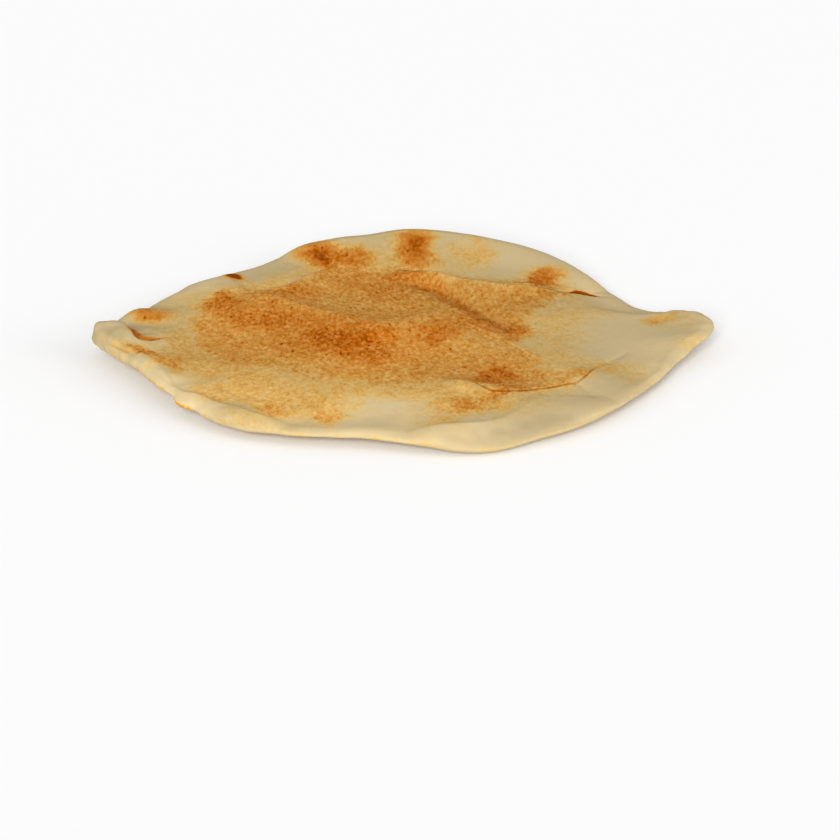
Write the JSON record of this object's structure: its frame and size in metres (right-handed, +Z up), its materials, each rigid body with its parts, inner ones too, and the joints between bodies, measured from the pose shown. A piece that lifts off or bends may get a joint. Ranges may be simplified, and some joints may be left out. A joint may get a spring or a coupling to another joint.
{
  "type": "pita bread",
  "caption": "Large thin round pita bread with a rolled uneven rim, two pinched ears, soft folds and browned patches, lying flat.",
  "frame": {"origin": "middle of the bounding box at its bottom, on the flat underside that the bread rests on", "axes": "+Z up from the table, +X to the right-hand ear, +Y to the high back rim"},
  "size_m": [0.2504, 0.2312, 0.0167],
  "materials": {
    "crust": "matte baked skin, cream with golden brown patches and small dark spots"
  },
  "bodies": {
    "root": {"pita_bread": "crust"}
  },
  "joints": []
}
